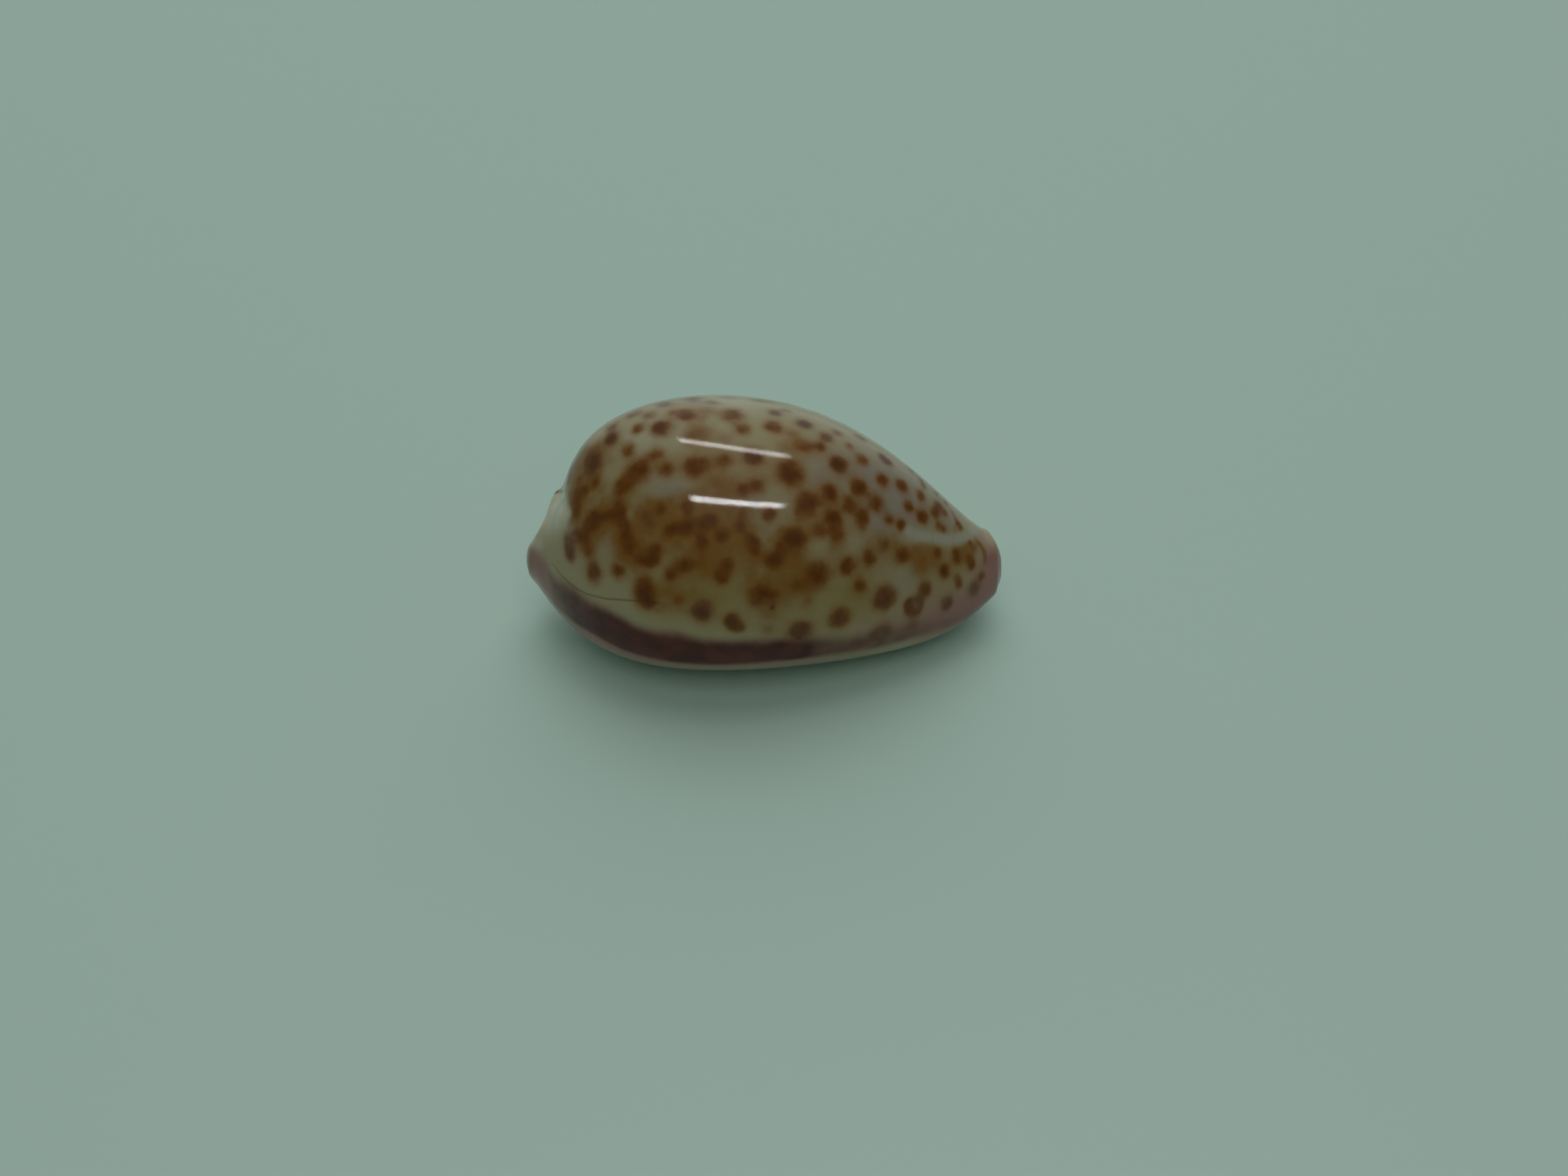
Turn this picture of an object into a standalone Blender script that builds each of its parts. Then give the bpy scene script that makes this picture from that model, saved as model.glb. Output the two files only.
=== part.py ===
"""A small glossy cowrie seashell: one hollow shell with a toothed slot along its underside.

Metres, +Z up. The shell rests on its underside with the front canal toward +X, the outer lip
on the -Y side and the dome up. The origin is under the middle of the shell, on the ground.
The wall is one thick sheet. Its outer and inner faces are grids over two parameters: the station
along the shell, from -1 at the rear canal to +1 at the front canal, and the turn, from 0 at the
outer lip over the dome to 1 at the columella lip. A rounded border joins the two faces all the
way round the slot and the two canals. A pair of values gives the rear value and the front value.
"""
import bpy
import numpy as np

MM = 0.001

# Plan outline
LENGTH = 22.5 * MM
HALF_WIDTH = 6.64 * MM
WIDTH_TAPER = (0.93, 0.83)
WIDTH_SHAPE = (-0.42, 0.15)
CANAL_SIDE_SHIFT = (0.73 * MM, 0.53 * MM)

# Dome, measured up from the margin line
DOME_HEIGHT = 7.41 * MM
DOME_TAPER = (0.62, 1.18)
DOME_SHAPE = (0.37, 0.75)
DOME_START = -0.968
DOME_START_BLEND = 0.03
DOME_PINCH = 0.55
CREST_SHIFT = 0.55 * MM

# Margin line, where the shell is widest, and the underside below it
MARGIN_HEIGHT = 3.58 * MM
MARGIN_TILT = -0.95 * MM
MARGIN_DROOP = -1.43 * MM
MARGIN_END_LIFT = (1.25 * MM, 0.75 * MM)
UNDERSIDE_SINK = 0.30 * MM
UNDERSIDE_END_LIFT = (1.96 * MM, 1.65 * MM)
UNDERSIDE_LIFT_POWER = (4.7, 6.2)
UNDERSIDE_FULLNESS = (2.31, 2.02)
FLAT_BLEND = 0.15 * MM
FLAT_TRIM = 0.06 * MM
FLAT_REACH = 2.0 * MM

# Rims of the two canals
RIM_HALF_WIDTH = (1.46 * MM, 1.50 * MM)
RIM_HEIGHT = (1.23 * MM, 2.24 * MM)
RIM_WALL = (0.65 * MM, 0.85 * MM)
RIM_ROUND = 0.24 * MM
RIM_ROLL = (0.45 * MM, 0.50 * MM)
LOBE_ANGLE = np.radians(60)
FAR_LOBE_SET_BACK = (1.10 * MM, 0.82 * MM)
NOTCH_SET_BACK = (0.52 * MM, 0.0 * MM)
CORNER_SET_BACK = (0.22 * MM, 0.24 * MM)  # where a rim meets a lip, rear and front
CORNER_SPREAD = np.radians(22)
REAR_SET_BACK = 0.32 * MM  # of the rear rim's upper far side
REAR_SET_BACK_ANGLE = np.radians(232)
REAR_SET_BACK_SPREAD = np.radians(36)
FRONT_FULLNESS = 0.24 * MM  # of the front rim's upper near side
FRONT_FULLNESS_ANGLE = np.radians(140)
FRONT_FULLNESS_SPREAD = np.radians(38)

# Slot between the outer lip and the columella lip
OUTER_LIP = -2.05 * MM
OUTER_LIP_SLANT = -0.10 * MM
OUTER_LIP_END_SHIFT = (2.15 * MM, 1.40 * MM)
OUTER_LIP_POWER = (8.0, 12.0)
OUTER_LIP_ROLL = 0.62 * MM
COLUMELLA_LIP = 0.75 * MM
COLUMELLA_LIP_END_SHIFT = (0.60 * MM, 1.60 * MM)
COLUMELLA_LIP_POWER = (6.0, 9.0)
COLUMELLA_LIP_ROLL = 1.10 * MM
END_LIP_ROLL = 0.45 * MM

# Teeth: low ribs across both lips
TOOTH_PITCH = 1.22 * MM
TOOTH_START = 8.53 * MM
TOOTH_ZONE = 9.3 * MM
TOOTH_ZONE_FADE = 0.25 * MM
OUTER_TOOTH = 0.15 * MM
COLUMELLA_TOOTH = 0.07 * MM

# Wall thickness and hollow
WALL_DOME = 1.0 * MM
WALL_MARGIN = 2.3 * MM
WALL_UNDERSIDE = 1.7 * MM
HOLLOW_TAPER = 1.5
HOLLOW_REAR_FULLNESS = 0.25
HOLLOW_LIP_UNDERCUT = (0.1 * MM, 0.2 * MM)
HOLLOW_END_NARROWING = 0.35

# Mesh
STATIONS = 90
TURNS = 24
BORDER_RINGS = 3
END_CROWDING = 0.4


def unit(vectors):
    """The vectors at length one."""
    return vectors / np.maximum(np.linalg.norm(vectors, axis=-1, keepdims=True), 1e-12)


def station_column(count):
    """Stations from -1 to 1, crowded toward both ends as cos(angle) is, and a little more evenly."""
    share = np.linspace(0.0, 1.0, count)[:, None]
    share = share + END_CROWDING / (2 * np.pi) * np.sin(2 * np.pi * share)
    return -np.cos(np.pi * share)


def between(pair, station):
    """A value that goes straight from its rear value to its front value."""
    return pair[0] + (pair[1] - pair[0]) * (1 + station) / 2


def toward_ends(pair, powers, station):
    """A value that is 0 at mid length and grows as a power of the station to each end's own value."""
    rear = pair[0] * np.maximum(-station, 0) ** powers[0]
    front = pair[1] * np.maximum(station, 0) ** powers[1]
    return rear + front


def taper(station, powers, shape, start=-1.0):
    """An egg's rise and fall, 1 at its highest: each end closes as a power of its distance."""
    def raw(s):
        past = s - start
        past = (past + np.sqrt(past ** 2 + DOME_START_BLEND ** 2)) / 2
        ends = past ** powers[0] * np.maximum(1 - s, 0) ** powers[1]
        return ends * (1 + shape[0] * s + shape[1] * s ** 2)
    return raw(station) / raw(np.linspace(-1, 1, 401)).max()


def margin_line(station):
    """Height of the widest line: tilted down to the front, drooping, lifted at both tips."""
    line = MARGIN_HEIGHT + MARGIN_TILT * station + MARGIN_DROOP * station ** 2
    return line + toward_ends(MARGIN_END_LIFT, (6, 6), station)


def underside_line(station):
    """Height of the lowest line before it is flattened: below ground, rising at both ends."""
    return toward_ends(UNDERSIDE_END_LIFT, UNDERSIDE_LIFT_POWER, station) - UNDERSIDE_SINK


def lip_lines(station):
    """Sideways places where the rounding of the outer lip and of the columella lip begins."""
    outer_lip = OUTER_LIP + OUTER_LIP_SLANT * station
    outer_lip = outer_lip + toward_ends(OUTER_LIP_END_SHIFT, OUTER_LIP_POWER, station)
    columella = COLUMELLA_LIP + toward_ends(COLUMELLA_LIP_END_SHIFT, COLUMELLA_LIP_POWER, station)
    return outer_lip, columella


def bump(values, centre, spread):
    """A bell that is 1 at its centre and falls off with the square of the distance over its spread."""
    return np.exp(-((values - centre) / spread) ** 2)


def wall_face(station, turns, width, height, depth, lips):
    """Points of one face of the wall, one turn at each station, from lip to lip over the dome.

    Each turn is a superellipse about the margin line. Its half-height changes smoothly from depth,
    below, to height, above; the dome's flanks are pinched in and its crest is shifted sideways.
    Lengthways each point lies on a line from the rear rim to the front rim. The rims are set back
    round the turn, most on the far lobe, in the notch and where they meet the lips; the rear rim
    is also set back on its upper far side, and the front rim swells on its upper near side.
    """
    middle = toward_ends(CANAL_SIDE_SHIFT, (5, 5), station)
    fullness = between(UNDERSIDE_FULLNESS, station)

    def angle_of(side):
        out = np.clip(np.abs(side - middle) / width, 0, 0.9)
        down = (1 - out ** fullness) ** (1 / fullness)
        return np.arctan2(out, down) * np.sign(side - middle)
    first = -angle_of(lips[0])
    last = 2 * np.pi - angle_of(lips[1])
    angle = first + (last - first) * np.linspace(0, 1, turns)[None, :]
    raised = (1 - np.cos(angle)) / 2
    power = fullness + (2 - fullness) * raised ** 2 * (3 - 2 * raised)
    side, up = -np.sin(angle), -np.cos(angle)
    reach = (np.abs(side) ** power + np.abs(up) ** power) ** (-1 / power)
    side, up = side * reach, up * reach
    blend = 0.5 + 0.75 * up - 0.25 * up ** 3
    z = margin_line(station) + up * (depth + (height - depth) * blend)
    above = np.maximum(up, 0) ** 2
    pinch = DOME_PINCH * station ** 2 * (1 - station ** 6)
    shift = CREST_SHIFT * np.minimum(height / DOME_HEIGHT, 1)
    y = middle + width * side * (1 - pinch * above) + shift * above
    far = (1 - np.cos(angle - LOBE_ANGLE)) / 2
    notch = np.sin(angle - LOBE_ANGLE) ** 2
    rear = -LENGTH / 2 + RIM_ROUND + FAR_LOBE_SET_BACK[0] * far + NOTCH_SET_BACK[0] * notch
    front = LENGTH / 2 - RIM_ROUND - FAR_LOBE_SET_BACK[1] * far - NOTCH_SET_BACK[1] * notch
    corner = bump(angle, first, CORNER_SPREAD) + bump(angle, last, CORNER_SPREAD)
    rear = rear + CORNER_SET_BACK[0] * corner
    rear = rear + REAR_SET_BACK * bump(angle, REAR_SET_BACK_ANGLE, REAR_SET_BACK_SPREAD)
    front = front - CORNER_SET_BACK[1] * corner
    front = front + FRONT_FULLNESS * bump(angle, FRONT_FULLNESS_ANGLE, FRONT_FULLNESS_SPREAD)
    x = rear + (front - rear) * (1 + station) / 2
    return np.stack([x, y, z], axis=-1)


def flatten_underside(points):
    """The points with whatever would pass below ground brought up to flats at height 0."""
    z = points[..., 2]
    soft = (z + np.sqrt(z ** 2 + FLAT_BLEND ** 2)) / 2 - FLAT_TRIM
    soft = np.maximum(soft, 0)
    fade = np.clip(z / FLAT_REACH, 0, 1)
    fade = fade ** 2 * (3 - 2 * fade)
    return np.concatenate([points[..., :2], (soft + (z - soft) * fade)[..., None]], axis=-1)


def outer_face():
    """The polished outside of the shell."""
    station = station_column(STATIONS)
    rim_width = between(RIM_HALF_WIDTH, station)
    rim_height = between(RIM_HEIGHT, station)
    width = rim_width + (HALF_WIDTH - rim_width) * taper(station, WIDTH_TAPER, WIDTH_SHAPE)
    height = rim_height + (DOME_HEIGHT - rim_height) * taper(station, DOME_TAPER, DOME_SHAPE, DOME_START)
    depth = margin_line(station) - underside_line(station)
    return flatten_underside(wall_face(station, TURNS, width, height, depth, lip_lines(station)))


def inner_face():
    """The inside: a narrow canal at each end that opens into the hollow."""
    station = station_column(STATIONS)
    wall = between(RIM_WALL, station)
    canal_width = between(RIM_HALF_WIDTH, station) - wall
    canal_height = between(RIM_HEIGHT, station) - wall
    open_up = np.maximum(1 - station ** 2, 0) ** HOLLOW_TAPER
    width = canal_width + (HALF_WIDTH - WALL_MARGIN - canal_width) * open_up
    lean = 1 - HOLLOW_REAR_FULLNESS * station
    height = canal_height + (DOME_HEIGHT - WALL_DOME - canal_height) * open_up * lean
    floor = wall + (WALL_UNDERSIDE - wall) * (1 - station ** 4) + UNDERSIDE_SINK
    depth = margin_line(station) - underside_line(station) - floor
    middle = toward_ends(CANAL_SIDE_SHIFT, (5, 5), station)
    narrowing = 1 - HOLLOW_END_NARROWING * station ** 6
    outer_lip, columella = lip_lines(station)
    outer_lip = middle + (outer_lip - middle) * narrowing - HOLLOW_LIP_UNDERCUT[0]
    columella = middle + (columella - middle) * narrowing - HOLLOW_LIP_UNDERCUT[1]
    return wall_face(station, TURNS, width, height, depth, (outer_lip, columella))


def round_edge(grid):
    """The border of a grid as one loop: outer lip, front rim, columella lip, rear rim."""
    return np.concatenate([grid[:, 0], grid[-1, 1:], grid[-2::-1, -1], grid[0, -2:0:-1]])


def edge_directions(face):
    """Unit directions that lead out of a face across its border, averaged at the corners."""
    out = np.zeros_like(face)
    out[:, 0] += unit(face[:, 0] - face[:, 1])
    out[:, -1] += unit(face[:, -1] - face[:, -2])
    out[0] += unit(face[0] - face[1])
    out[-1] += unit(face[-1] - face[-2])
    return unit(round_edge(out))


def roll_reach(x):
    """How far the rounded border swells out at each place, with a cosine wave of teeth on the lips."""
    station = station_column(STATIONS)[:, 0]
    zone = 1 / (1 + np.exp((np.abs(x) - TOOTH_ZONE) / TOOTH_ZONE_FADE))
    teeth = zone * np.cos(2 * np.pi * (x - TOOTH_START) / TOOTH_PITCH)
    along = 1 - station ** 8
    reach = np.zeros((STATIONS, TURNS, 1))
    reach[0] = RIM_ROLL[0]
    reach[-1] = RIM_ROLL[1]
    reach[:, 0, 0] = END_LIP_ROLL + (OUTER_LIP_ROLL - END_LIP_ROLL) * along + OUTER_TOOTH * teeth
    columella = END_LIP_ROLL + (COLUMELLA_LIP_ROLL - END_LIP_ROLL) * along ** 2
    reach[:, -1, 0] = columella + COLUMELLA_TOOTH * teeth
    return round_edge(reach)


def border_rings(outer, inner):
    """Rings between the two borders, on a cubic curve that leaves each face in its own direction."""
    reach = roll_reach(outer[:, 0, 0])
    start, end = round_edge(outer), round_edge(inner)
    leave, arrive = start + reach * edge_directions(outer), end + reach * edge_directions(inner)
    t = np.linspace(0, 1, BORDER_RINGS + 2)[1:-1, None, None]
    rings = (1 - t) ** 3 * start + 3 * t * (1 - t) ** 2 * leave + 3 * t ** 2 * (1 - t) * arrive + t ** 3 * end
    rings[..., 2] = np.maximum(rings[..., 2], 0)
    return rings


def quads(rows):
    """The four corners of every cell of a grid of point numbers."""
    corners = [rows[:-1, :-1], rows[1:, :-1], rows[1:, 1:], rows[:-1, 1:]]
    return np.stack(corners, axis=-1).reshape(-1, 4)


def shell_mesh():
    """Points and faces of the whole shell, closed, with its faces pointing out of the wall."""
    outer, inner = outer_face(), inner_face()
    rings = border_rings(outer, inner)
    count = STATIONS * TURNS
    outer_ids = np.arange(count).reshape(STATIONS, TURNS)
    inner_ids = outer_ids + count
    ring_ids = 2 * count + np.arange(rings[..., 0].size).reshape(BORDER_RINGS, -1)
    edge_of = [round_edge(ids[..., None])[:, 0] for ids in (outer_ids, inner_ids)]
    strip = np.vstack([edge_of[0], ring_ids, edge_of[1]])
    strip = np.hstack([strip, strip[:, :1]])
    faces = np.concatenate([quads(outer_ids), quads(inner_ids)[:, ::-1], quads(strip)])
    points = np.concatenate([outer.reshape(-1, 3), inner.reshape(-1, 3), rings.reshape(-1, 3)])
    return points, faces


def porcelain():
    """The mean look of the spotted, polished shell."""
    material = bpy.data.materials.new("polished_shell")
    material.use_nodes = True
    shader = material.node_tree.nodes["Principled BSDF"]
    shader.inputs["Base Color"].default_value = (0.46, 0.31, 0.19, 1)
    shader.inputs["Roughness"].default_value = 0.15
    shader.inputs["Metallic"].default_value = 0.0
    return material


def build():
    """The whole model: one object."""
    for old in list(bpy.data.objects):
        bpy.data.objects.remove(old)
    points, faces = shell_mesh()
    mesh = bpy.data.meshes.new("shell")
    mesh.from_pydata(points.tolist(), [], faces.tolist())
    mesh.shade_smooth()
    mesh.materials.append(porcelain())
    shell = bpy.data.objects.new("shell", mesh)
    bpy.context.scene.collection.objects.link(shell)


build()
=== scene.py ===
import bpy
import numpy as np
from mathutils import Matrix


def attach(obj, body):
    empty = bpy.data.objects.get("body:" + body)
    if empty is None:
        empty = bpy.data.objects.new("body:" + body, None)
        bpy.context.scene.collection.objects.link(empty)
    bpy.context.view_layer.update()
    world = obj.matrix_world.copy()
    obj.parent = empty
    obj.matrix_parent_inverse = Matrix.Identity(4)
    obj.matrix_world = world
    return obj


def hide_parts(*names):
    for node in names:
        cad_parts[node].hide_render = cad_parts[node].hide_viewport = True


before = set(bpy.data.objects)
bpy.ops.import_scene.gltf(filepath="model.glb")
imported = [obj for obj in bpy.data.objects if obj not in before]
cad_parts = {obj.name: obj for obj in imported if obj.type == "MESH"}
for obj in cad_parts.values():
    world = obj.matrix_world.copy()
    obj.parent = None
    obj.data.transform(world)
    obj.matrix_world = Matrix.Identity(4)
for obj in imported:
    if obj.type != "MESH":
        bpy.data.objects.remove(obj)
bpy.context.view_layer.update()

MM = 0.001


# The view. The photograph looks down on the outer-lip side of the shell from about four shell
# lengths away. The camera's place was fitted to the outline of the shell, and the marks of the
# enamel, read from the photograph, find their places through it.
PHOTO_WIDTH = 2016
PHOTO_HEIGHT = 1512
FOCAL_PIXELS = 2545
SENSOR = 36 * MM
CAMERA_TARGET = np.array([0.911, 1.003, 0.606]) * MM
CAMERA_DISTANCE = 95.99 * MM
CAMERA_PITCH = np.radians(39.02)
CAMERA_YAW = np.radians(0.406)
CAMERA_ROLL = np.radians(-0.20)


def camera_axes():
    """Unit vectors to the right, up and forward of the camera, from its pitch, yaw and roll."""
    forward = np.array([
        np.sin(CAMERA_YAW) * np.cos(CAMERA_PITCH),
        np.cos(CAMERA_YAW) * np.cos(CAMERA_PITCH),
        -np.sin(CAMERA_PITCH)])
    level = np.cross(forward, [0, 0, 1])
    level = level / np.linalg.norm(level)
    above = np.cross(level, forward)
    right = level * np.cos(CAMERA_ROLL) + above * np.sin(CAMERA_ROLL)
    up = above * np.cos(CAMERA_ROLL) - level * np.sin(CAMERA_ROLL)
    return right, up, forward


view_right, view_up, view_forward = camera_axes()
view_place = CAMERA_TARGET - view_forward * CAMERA_DISTANCE


def photo_pixels(points):
    """Where points fall in the photograph: their offset across and up over their depth, times focal."""
    offset = points - view_place
    depth = offset @ view_forward
    across = PHOTO_WIDTH / 2 + FOCAL_PIXELS * (offset @ view_right) / depth
    down = PHOTO_HEIGHT / 2 - FOCAL_PIXELS * (offset @ view_up) / depth
    return across, down


camera_data = bpy.data.cameras.new("view")
camera_data.sensor_width = SENSOR / MM
camera_data.lens = FOCAL_PIXELS / PHOTO_WIDTH * SENSOR / MM
camera_data.clip_start = 5 * MM
camera = bpy.data.objects.new("view", camera_data)
turn = Matrix([list(axis) for axis in (view_right, view_up, -view_forward)]).transposed()
camera.matrix_world = Matrix.Translation(view_place) @ turn.to_4x4()
bpy.context.scene.collection.objects.link(camera)
bpy.context.scene.camera = camera


# The shell. One coiled wall of aragonite that the animal grew outward and then thickened: an
# egg-shaped dome over a flattened underside, with a toothed slot between the outer lip and the
# columella lip and a short canal at each end. Its polish is enamel laid down by the mantle.
LENGTH = 22.5 * MM
HALF_WIDTH = 6.64 * MM
WIDTH_TAPER = (0.93, 0.83)
WIDTH_SHAPE = (-0.42, 0.15)
CANAL_SIDE_SHIFT = (0.73 * MM, 0.53 * MM)
DOME_HEIGHT = 7.41 * MM
DOME_TAPER = (0.62, 1.18)
DOME_SHAPE = (0.37, 0.75)
DOME_START = -0.968
DOME_START_BLEND = 0.03
DOME_PINCH = 0.55
CREST_SHIFT = 0.55 * MM
MARGIN_HEIGHT = 3.58 * MM
MARGIN_TILT = -0.95 * MM
MARGIN_DROOP = -1.43 * MM
MARGIN_END_LIFT = (1.25 * MM, 0.75 * MM)
UNDERSIDE_SINK = 0.30 * MM
UNDERSIDE_END_LIFT = (1.96 * MM, 1.65 * MM)
UNDERSIDE_LIFT_POWER = (4.7, 6.2)
UNDERSIDE_FULLNESS = (2.31, 2.02)
FLAT_BLEND = 0.15 * MM
FLAT_TRIM = 0.06 * MM
FLAT_REACH = 2.0 * MM
RIM_HALF_WIDTH = (1.46 * MM, 1.50 * MM)
RIM_HEIGHT = (1.23 * MM, 2.24 * MM)
RIM_WALL = (0.65 * MM, 0.85 * MM)
RIM_ROUND = 0.24 * MM
RIM_ROLL = (0.45 * MM, 0.50 * MM)
LOBE_ANGLE = np.radians(60)
FAR_LOBE_SET_BACK = (1.10 * MM, 0.82 * MM)
NOTCH_SET_BACK = (0.52 * MM, 0.0 * MM)
CORNER_SET_BACK = (0.22 * MM, 0.24 * MM)
CORNER_SPREAD = np.radians(22)
REAR_SET_BACK = 0.32 * MM
REAR_SET_BACK_ANGLE = np.radians(232)
REAR_SET_BACK_SPREAD = np.radians(36)
FRONT_FULLNESS = 0.24 * MM
FRONT_FULLNESS_ANGLE = np.radians(140)
FRONT_FULLNESS_SPREAD = np.radians(38)
OUTER_LIP = -2.05 * MM
OUTER_LIP_SLANT = -0.10 * MM
OUTER_LIP_END_SHIFT = (2.15 * MM, 1.40 * MM)
OUTER_LIP_POWER = (8.0, 12.0)
OUTER_LIP_ROLL = 0.62 * MM
COLUMELLA_LIP = 0.75 * MM
COLUMELLA_LIP_END_SHIFT = (0.60 * MM, 1.60 * MM)
COLUMELLA_LIP_POWER = (6.0, 9.0)
COLUMELLA_LIP_ROLL = 1.10 * MM
END_LIP_ROLL = 0.45 * MM
TOOTH_PITCH = 1.22 * MM
TOOTH_START = 8.53 * MM
TOOTH_ZONE = 9.3 * MM
TOOTH_ZONE_FADE = 0.25 * MM
OUTER_TOOTH = 0.15 * MM
COLUMELLA_TOOTH = 0.07 * MM
WALL_DOME = 1.0 * MM
WALL_MARGIN = 2.3 * MM
WALL_UNDERSIDE = 1.7 * MM
HOLLOW_TAPER = 1.5
HOLLOW_REAR_FULLNESS = 0.25
HOLLOW_LIP_UNDERCUT = (0.1 * MM, 0.2 * MM)
HOLLOW_END_NARROWING = 0.35
STATIONS = 301
TURNS = 241
BORDER_RINGS = 9
END_CROWDING = 0.4
COARSE = 4


def unit(vectors):
    """The vectors at length one."""
    return vectors / np.maximum(np.linalg.norm(vectors, axis=-1, keepdims=True), 1e-12)


def smooth_step(start, end, values):
    """0 before start, 1 after end, and a smooth S between, 3 t squared less 2 t cubed."""
    t = np.clip((values - start) / (end - start), 0, 1)
    return t ** 2 * (3 - 2 * t)


def station_column(count):
    """Stations from -1 to 1, crowded toward both ends as cos(angle) is, and a little more evenly."""
    share = np.linspace(0.0, 1.0, count)[:, None]
    share = share + END_CROWDING / (2 * np.pi) * np.sin(2 * np.pi * share)
    return -np.cos(np.pi * share)


def between(pair, station):
    """A value that goes straight from its rear value to its front value."""
    return pair[0] + (pair[1] - pair[0]) * (1 + station) / 2


def toward_ends(pair, powers, station):
    """A value that is 0 at mid length and grows as a power of the station to each end's own value."""
    rear = pair[0] * np.maximum(-station, 0) ** powers[0]
    front = pair[1] * np.maximum(station, 0) ** powers[1]
    return rear + front


def taper(station, powers, shape, start=-1.0):
    """An egg's rise and fall, 1 at its highest: each end closes as a power of its distance."""
    def raw(s):
        past = s - start
        past = (past + np.sqrt(past ** 2 + DOME_START_BLEND ** 2)) / 2
        ends = past ** powers[0] * np.maximum(1 - s, 0) ** powers[1]
        return ends * (1 + shape[0] * s + shape[1] * s ** 2)
    return raw(station) / raw(np.linspace(-1, 1, 401)).max()


def margin_line(station):
    """Height of the widest line: tilted down to the front, drooping, lifted at both tips."""
    line = MARGIN_HEIGHT + MARGIN_TILT * station + MARGIN_DROOP * station ** 2
    return line + toward_ends(MARGIN_END_LIFT, (6, 6), station)


def underside_line(station):
    """Height of the lowest line before it is flattened: below ground, rising at both ends."""
    return toward_ends(UNDERSIDE_END_LIFT, UNDERSIDE_LIFT_POWER, station) - UNDERSIDE_SINK


def lip_lines(station):
    """Sideways places where the rounding of the outer lip and of the columella lip begins."""
    outer_lip = OUTER_LIP + OUTER_LIP_SLANT * station
    outer_lip = outer_lip + toward_ends(OUTER_LIP_END_SHIFT, OUTER_LIP_POWER, station)
    columella = COLUMELLA_LIP + toward_ends(COLUMELLA_LIP_END_SHIFT, COLUMELLA_LIP_POWER, station)
    return outer_lip, columella


def bump(values, centre, spread):
    """A bell that is 1 at its centre and falls off with the square of the distance over its spread."""
    return np.exp(-((values - centre) / spread) ** 2)


def wall_face(station, turns, width, height, depth, lips):
    """Points of one face of the wall, one turn at each station, from lip to lip over the dome.

    Each turn is a superellipse about the margin line. Its half-height changes smoothly from depth,
    below, to height, above; the dome's flanks are pinched in and its crest is shifted sideways.
    Lengthways each point lies on a line from the rear rim to the front rim. The rims are set back
    round the turn, most on the far lobe, in the notch and where they meet the lips; the rear rim
    is also set back on its upper far side, and the front rim swells on its upper near side.
    """
    middle = toward_ends(CANAL_SIDE_SHIFT, (5, 5), station)
    fullness = between(UNDERSIDE_FULLNESS, station)

    def angle_of(side):
        out = np.clip(np.abs(side - middle) / width, 0, 0.9)
        down = (1 - out ** fullness) ** (1 / fullness)
        return np.arctan2(out, down) * np.sign(side - middle)
    first = -angle_of(lips[0])
    last = 2 * np.pi - angle_of(lips[1])
    angle = first + (last - first) * np.linspace(0, 1, turns)[None, :]
    raised = (1 - np.cos(angle)) / 2
    power = fullness + (2 - fullness) * raised ** 2 * (3 - 2 * raised)
    side, up = -np.sin(angle), -np.cos(angle)
    reach = (np.abs(side) ** power + np.abs(up) ** power) ** (-1 / power)
    side, up = side * reach, up * reach
    blend = 0.5 + 0.75 * up - 0.25 * up ** 3
    z = margin_line(station) + up * (depth + (height - depth) * blend)
    above = np.maximum(up, 0) ** 2
    pinch = DOME_PINCH * station ** 2 * (1 - station ** 6)
    shift = CREST_SHIFT * np.minimum(height / DOME_HEIGHT, 1)
    y = middle + width * side * (1 - pinch * above) + shift * above
    far = (1 - np.cos(angle - LOBE_ANGLE)) / 2
    notch = np.sin(angle - LOBE_ANGLE) ** 2
    rear = -LENGTH / 2 + RIM_ROUND + FAR_LOBE_SET_BACK[0] * far + NOTCH_SET_BACK[0] * notch
    front = LENGTH / 2 - RIM_ROUND - FAR_LOBE_SET_BACK[1] * far - NOTCH_SET_BACK[1] * notch
    corner = bump(angle, first, CORNER_SPREAD) + bump(angle, last, CORNER_SPREAD)
    rear = rear + CORNER_SET_BACK[0] * corner
    rear = rear + REAR_SET_BACK * bump(angle, REAR_SET_BACK_ANGLE, REAR_SET_BACK_SPREAD)
    front = front - CORNER_SET_BACK[1] * corner
    front = front + FRONT_FULLNESS * bump(angle, FRONT_FULLNESS_ANGLE, FRONT_FULLNESS_SPREAD)
    x = rear + (front - rear) * (1 + station) / 2
    return np.stack([x, y, z], axis=-1)


def flatten_underside(points):
    """The points with whatever would pass below ground brought up to flats at height 0."""
    z = points[..., 2]
    soft = (z + np.sqrt(z ** 2 + FLAT_BLEND ** 2)) / 2 - FLAT_TRIM
    soft = np.maximum(soft, 0)
    fade = smooth_step(0, FLAT_REACH, z)
    return np.concatenate([points[..., :2], (soft + (z - soft) * fade)[..., None]], axis=-1)


def outer_face():
    """The polished outside of the shell."""
    station = station_column(STATIONS)
    rim_width = between(RIM_HALF_WIDTH, station)
    rim_height = between(RIM_HEIGHT, station)
    width = rim_width + (HALF_WIDTH - rim_width) * taper(station, WIDTH_TAPER, WIDTH_SHAPE)
    rise = taper(station, DOME_TAPER, DOME_SHAPE, DOME_START)
    height = rim_height + (DOME_HEIGHT - rim_height) * rise
    depth = margin_line(station) - underside_line(station)
    return flatten_underside(wall_face(station, TURNS, width, height, depth, lip_lines(station)))


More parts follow.
